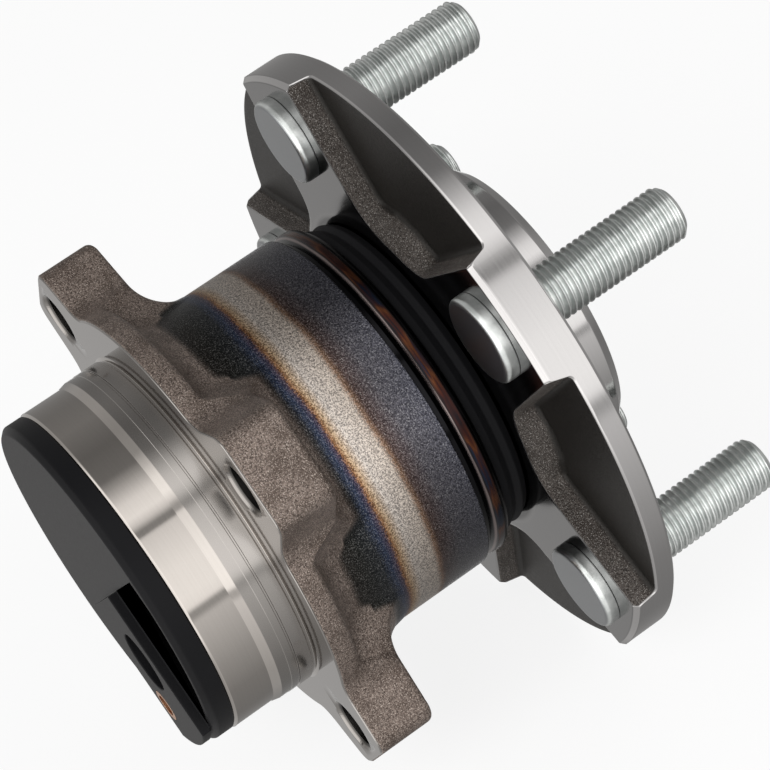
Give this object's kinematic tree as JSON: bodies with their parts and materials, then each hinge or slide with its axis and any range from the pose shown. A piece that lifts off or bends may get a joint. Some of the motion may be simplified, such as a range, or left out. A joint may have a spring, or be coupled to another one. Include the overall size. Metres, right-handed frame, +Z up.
{
  "type": "wheel hub bearing",
  "caption": "Flanged wheel hub bearing: a studded hub turns in a flanged outer ring, with a sealed cap and a speed sensor port.",
  "frame": {"origin": "centre of the hub's wheel mounting face, on the spin axis", "axes": "+Y along the spin axis, outboard towards the wheel; +Z up; the knuckle flange's lobes are mirrored about the YZ plane"},
  "size_m": [0.142, 0.1271, 0.142],
  "materials": {
    "forged_outer_steel": "forged, machined on the seats",
    "machined_hub_steel": "turned, forged in the pockets",
    "zinc_stud_steel": "zinc plated",
    "bearing_steel": "ground",
    "cage_plastic": "moulded",
    "seal_steel": "coated black",
    "seal_rubber": "matt",
    "carrier_steel": "pressed",
    "encoder_rubber": "matt",
    "cap_plastic": "satin, moulded",
    "insert_brass": "machined"
  },
  "bodies": {
    "outer": {"outer_ring": "forged_outer_steel", "end_cap": "cap_plastic", "sensor_insert": "insert_brass", "outboard_seal_case": "seal_steel", "outboard_seal_lip": "seal_rubber"},
    "hub": {"wheel_hub": "machined_hub_steel", "wheel_stud_1": "zinc_stud_steel", "wheel_stud_2": "zinc_stud_steel", "wheel_stud_3": "zinc_stud_steel", "wheel_stud_4": "zinc_stud_steel", "wheel_stud_5": "zinc_stud_steel", "inner_ring": "bearing_steel", "encoder_carrier": "carrier_steel", "encoder_ring": "encoder_rubber"},
    "outboard_row": {"outboard_cage": "cage_plastic"},
    "inboard_row": {"inboard_cage": "cage_plastic"}
  },
  "joints": [
    {"name": "hub_spin", "type": "hinge", "parent": "outer", "child": "hub", "pos_m": [0, 0, 0], "axis": [0, 1, 0], "continuous": true},
    {"name": "outboard_row_spin", "type": "hinge", "parent": "outer", "child": "outboard_row", "pos_m": [0, -0.0385, 0], "axis": [0, 1, 0], "continuous": true},
    {"name": "inboard_row_spin", "type": "hinge", "parent": "outer", "child": "inboard_row", "pos_m": [0, -0.0645, 0], "axis": [0, 1, 0], "continuous": true}
  ],
  "couplings": [
    {"joint": "outboard_row_spin", "follows": "hub_spin", "ratio": 0.4226},
    {"joint": "inboard_row_spin", "follows": "hub_spin", "ratio": 0.4226}
  ]
}
